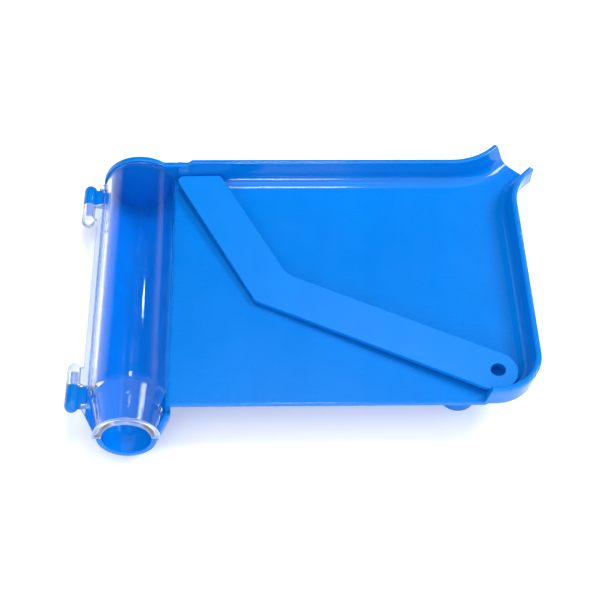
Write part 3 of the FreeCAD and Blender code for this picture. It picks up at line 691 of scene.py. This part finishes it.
class Nodes:
    """A node tree with short calls for adding and linking nodes."""

    def __init__(self, tree):
        self.tree = tree
        tree.nodes.clear()

    def add(self, kind, values=None, **settings):
        node = self.tree.nodes.new(kind)
        for name, value in settings.items():
            setattr(node, name, value)
        for name, value in (values or {}).items():
            if isinstance(value, bpy.types.NodeSocket):
                self.tree.links.new(value, node.inputs[name])
            else:
                node.inputs[name].default_value = value
        return node

    def noise(self, place, scale, detail=3.0, roughness=0.5):
        node = self.add("ShaderNodeTexNoise", {"Vector": place, "Scale": scale, "Detail": detail,
                                               "Roughness": roughness})
        return node.outputs["Fac"]

    def stretched(self, place, scale, turn):
        """Coordinates turned about Z and stretched, for streaks and scratches."""
        node = self.add("ShaderNodeMapping", {"Vector": place, "Rotation": (0, 0, math.radians(turn)),
                                              "Scale": scale})
        return node.outputs["Vector"]

    def remap(self, value, low, high, new_low, new_high):
        node = self.add("ShaderNodeMapRange", {"Value": value, "From Min": low, "From Max": high,
                                               "To Min": new_low, "To Max": new_high})
        return node.outputs["Result"]

    def math(self, operation, first, second):
        return self.add("ShaderNodeMath", {0: first, 1: second}, operation=operation).outputs["Value"]

    def blend(self, share, first, second):
        node = self.add("ShaderNodeMix", {"Factor": share}, data_type="RGBA")
        for socket, colour in zip([s for s in node.inputs if s.type == "RGBA"], (first, second)):
            if isinstance(colour, bpy.types.NodeSocket):
                self.tree.links.new(colour, socket)
            else:
                socket.default_value = colour
        return [s for s in node.outputs if s.type == "RGBA"][0]


def new_material(name):
    """A material and its emptied node tree."""
    material = bpy.data.materials.new(name)
    material.use_nodes = True
    return material, Nodes(material.node_tree)


def scratches(nodes, place, turns, density):
    """Fine handling scratches in several directions, 1 in a scratch and 0 elsewhere."""
    total = None
    for number, turn in enumerate(turns):
        along = nodes.stretched(place, (9.0, 700.0, 60.0), turn + number * 0.7)
        streaks = nodes.noise(along, density, 2.0, 0.5)
        line = nodes.remap(streaks, 0.66, 0.72, 0.0, 1.0)
        total = line if total is None else nodes.math("MAXIMUM", total, line)
    patch = nodes.remap(nodes.noise(place, 38.0, 2.0), 0.45, 0.62, 0.0, 1.0)
    return nodes.math("MULTIPLY", total, patch)


def blue_plastic(name, deep, light, rough_low, rough_high, gloss, grain):
    """Moulded blue plastic: slow colour drift of the pigment, flow marks, a fine mould grain and light
    scratches."""
    material, nodes = new_material(name)
    place = nodes.add("ShaderNodeTexCoord").outputs["Object"]
    drift = nodes.noise(place, 14.0, 3.0, 0.55)
    flow = nodes.noise(nodes.stretched(place, (6.0, 1.6, 6.0), 24), 9.0, 4.0, 0.6)
    share = nodes.remap(nodes.math("ADD", drift, flow), 0.7, 1.3, 0.0, 1.0)
    marks = scratches(nodes, place, (12, 71, -38), 3.2)
    cloud = nodes.remap(nodes.noise(place, 45.0, 4.0, 0.6), 0.3, 0.7, rough_low, rough_high)
    rough = nodes.math("ADD", cloud, nodes.math("MULTIPLY", marks, 0.12))
    fine = nodes.math("MULTIPLY", nodes.noise(place, 900.0, 1.0, 0.5), grain)
    peel = nodes.math("MULTIPLY", nodes.noise(place, 160.0, 2.0, 0.5), 0.35)
    relief = nodes.math("SUBTRACT", nodes.math("ADD", fine, peel), nodes.math("MULTIPLY", marks, 0.25))
    bump = nodes.add("ShaderNodeBump", {"Height": relief, "Strength": 0.06, "Distance": 0.0002})
    shader = nodes.add("ShaderNodeBsdfPrincipled", {
        "Base Color": nodes.blend(share, deep, light), "Roughness": rough,
        "Normal": bump.outputs["Normal"], "IOR": 1.46, "Specular IOR Level": gloss})
    nodes.add("ShaderNodeOutputMaterial", {"Surface": shader.outputs["BSDF"]})
    return material


def clear_plastic(name, tints, smooth, hazy, clearness):
    """Clear plastic with a trace of haze and mould flow. Lamps shine through it, so that the trough
    under it stays lit."""
    material, nodes = new_material(name)
    place = nodes.add("ShaderNodeTexCoord").outputs["Object"]
    haze = nodes.noise(place, 60.0, 4.0, 0.6)
    marks = scratches(nodes, place, (4, 84), 3.0)
    cloud = nodes.remap(haze, 0.3, 0.75, smooth, hazy)
    rough = nodes.math("ADD", cloud, nodes.math("MULTIPLY", marks, 0.1))
    flow = nodes.noise(nodes.stretched(place, (5.0, 1.0, 5.0), 8), 22.0, 3.0, 0.5)
    height = nodes.math("ADD", flow, nodes.math("MULTIPLY", marks, -0.1))
    bump = nodes.add("ShaderNodeBump", {"Height": height, "Strength": 0.10, "Distance": 0.0004})
    shader = nodes.add("ShaderNodeBsdfPrincipled", {
        "Base Color": nodes.blend(haze, *tints), "Roughness": rough, "Normal": bump.outputs["Normal"],
        "IOR": COVER_IOR, "Transmission Weight": clearness})
    lamps = nodes.add("ShaderNodeBsdfTransparent", {"Color": (0.62, 0.69, 0.78, 1)})
    shadow = nodes.add("ShaderNodeLightPath").outputs["Is Shadow Ray"]
    both = nodes.add("ShaderNodeMixShader", {
        0: shadow, 1: shader.outputs["BSDF"], 2: lamps.outputs["BSDF"]})
    nodes.add("ShaderNodeOutputMaterial", {"Surface": both.outputs["Shader"]})
    return material


def pale_floor(name):
    """A nearly white, dull floor that glows a little, so that it stays pale in the picture."""
    material, nodes = new_material(name)
    place = nodes.add("ShaderNodeTexCoord").outputs["Object"]
    colour = nodes.blend(nodes.noise(place, 7.0, 3.0), (0.90, 0.905, 0.91, 1), (0.93, 0.93, 0.93, 1))
    shader = nodes.add("ShaderNodeBsdfPrincipled", {
        "Base Color": colour, "Roughness": 0.85, "Specular IOR Level": 0.2,
        "Emission Color": colour, "Emission Strength": 0.22})
    nodes.add("ShaderNodeOutputMaterial", {"Surface": shader.outputs["BSDF"]})
    return material


def paint(piece, *materials):
    """Gives a piece its materials, in the order that its faces count them."""
    piece.data.materials.clear()
    for material in materials:
        piece.data.materials.append(material)


# ---- studio ---------------------------------------------------------------------------------------

def make_camera():
    """From the front and above, a little from the left, with a slight roll."""
    elevation = math.radians(50.73)
    yaw = math.radians(-2.83)
    roll = math.radians(1.92)
    distance = 0.69348
    target = ORIGIN + Vector((79.44, 60.54, 0)) * MM
    back = Vector((math.sin(yaw) * math.cos(elevation), -math.cos(yaw) * math.cos(elevation),
                   math.sin(elevation)))
    right = (-back).cross(Vector((0, 0, 1))).normalized()
    up = right.cross(-back)
    side = right * math.cos(roll) + up * math.sin(roll)
    top = up * math.cos(roll) - right * math.sin(roll)
    data = bpy.data.cameras.new("camera")
    data.sensor_width = 36.0
    data.lens = 86.76
    data.clip_start = 0.01
    data.clip_end = 50.0
    camera = bpy.data.objects.new("camera", data)
    turn = Matrix((side, top, back)).transposed().to_4x4()
    camera.matrix_world = Matrix.Translation(target + back * distance) @ turn
    bpy.context.scene.collection.objects.link(camera)
    bpy.context.scene.camera = camera


def softbox(name, place, size, power):
    """A soft area light that points at the middle of the tray, at the platform's height."""
    data = bpy.data.lights.new(name, "AREA")
    data.shape = "RECTANGLE"
    data.size, data.size_y = size
    data.energy = power
    lamp = bpy.data.objects.new(name, data)
    lamp.location = place
    aim = Vector((0, 0, ORIGIN.z)) - Vector(place)
    lamp.rotation_euler = aim.to_track_quat("-Z", "Y").to_euler()
    bpy.context.scene.collection.objects.link(lamp)


def make_floor():
    """A wide, flat, pale floor, level with the soles."""
    half = 6.0
    bottom = CAD_BOX[0][2]
    mesh = bpy.data.meshes.new("studio_floor")
    corners = [(x * half, y * half, bottom) for x, y in ((-1, -1), (1, -1), (1, 1), (-1, 1))]
    mesh.from_pydata(corners, [], [(0, 1, 2, 3)])
    floor = bpy.data.objects.new("studio_floor", mesh)
    bpy.context.scene.collection.objects.link(floor)
    paint(floor, pale_floor("studio_floor_paint"))


def make_world():
    """A pale studio. A dark card behind and above the tray keeps its flat faces deep in colour."""
    world = bpy.data.worlds.new("studio")
    world.use_nodes = True
    nodes = Nodes(world.node_tree)
    direction = nodes.add("ShaderNodeTexCoord").outputs["Generated"]
    way = nodes.add("ShaderNodeSeparateXYZ", {"Vector": direction})
    rear = nodes.remap(way.outputs["Y"], 0.34, 0.50, 0.0, 1.0)
    high = nodes.remap(way.outputs["Z"], 0.16, 0.36, 0.0, 1.0)
    card = nodes.math("MULTIPLY", rear, high)
    colour = nodes.blend(card, (0.97, 0.98, 1.0, 1), (0.012, 0.016, 0.02, 1))
    light = nodes.add("ShaderNodeBackground", {"Color": colour, "Strength": 1.12})
    nodes.add("ShaderNodeOutputWorld", {"Surface": light.outputs["Background"]})
    bpy.context.scene.world = world


def make_studio():
    make_camera()
    make_floor()
    make_world()
    softbox("front_softbox", (-0.15, -0.55, 1.05), (0.6, 0.5), 1.0)
    softbox("key_softbox", (0.80, 0.22, 0.80), (0.3, 0.3), 6.5)
    softbox("rear_strip", (0.016, 0.34, 0.98), (0.14, 0.24), 2.6)
    softbox("low_front_strip", (0.016, -0.95, 0.36), (0.15, 0.12), 2.0)
    softbox("cover_strip", (0.42, 0.75, 0.84), (0.05, 0.04), 0.6)
    bpy.context.scene.view_settings.view_transform = "Standard"


# ---- the whole scene ------------------------------------------------------------------------------

def main():
    blues = (0.0, 0.150, 0.56, 1), (0.0, 0.166, 0.61, 1)
    satin_blue = blue_plastic("tray_blue_satin", *blues, rough_low=0.24, rough_high=0.31,
                              gloss=0.15, grain=0.4)
    tray_blue = blue_plastic("tray_blue_polished", *blues, rough_low=0.07, rough_high=0.13,
                             gloss=0.35, grain=0.15)
    spatula_blue = blue_plastic("spatula_blue_plastic", (0.0, 0.162, 0.59, 1), (0.0, 0.180, 0.64, 1),
                                rough_low=0.30, rough_high=0.40, gloss=0.15, grain=0.5)
    clear = clear_plastic("cover_clear_plastic", ((0.84, 0.89, 0.95, 1), (0.90, 0.94, 0.98, 1)),
                          smooth=0.015, hazy=0.05, clearness=1.0)
    frosted = clear_plastic("cover_frosted_plastic", ((0.74, 0.79, 0.88, 1), (0.84, 0.88, 0.95, 1)),
                            smooth=0.10, hazy=0.22, clearness=0.86)
    tray_pieces = [
        (make_platform(), ("counting_platform", "back_wall", "rear_flare_wall", "pour_chute",
                           "right_flare_wall", "right_wall", "front_corner_wall", "front_return_wall")),
        (make_trough(), ("collection_trough", "trough_spout")),
        (make_end_wall(), ("trough_end_wall",)),
        (tray_knuckle("rear_hinge_barrel", "rear_hinge_knuckle", 1), ("rear_hinge_knuckle",)),
        (tray_knuckle("front_hinge_barrel", "front_hinge_knuckle", -1), ("front_hinge_knuckle",)),
    ]
    for piece, nodes in tray_pieces:
        paint(piece, tray_blue, satin_blue)
        for face in piece.data.polygons:
            face.material_index = int(abs(face.normal.z) > LEVEL)
        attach(piece, "tray")
        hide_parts(*nodes)
    cover = make_cover()
    paint(cover, clear, frosted)
    for face in cover.data.polygons:
        spot = (face.center - ORIGIN) / MM
        if spot.x < FROSTED or spot.y < OUTLET + LIP_RUN + EDGE:
            face.material_index = 1
    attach(cover, "cover")
    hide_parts("cover_shell", "cover_rear_knuckle", "cover_front_knuckle")
    kept = {"front_foot": tray_blue, "rear_foot": tray_blue, "spatula": spatula_blue}
    for node, material in kept.items():
        for slot in frame["nodes"][node].material_slots:
            slot.material = material
    make_studio()


main()
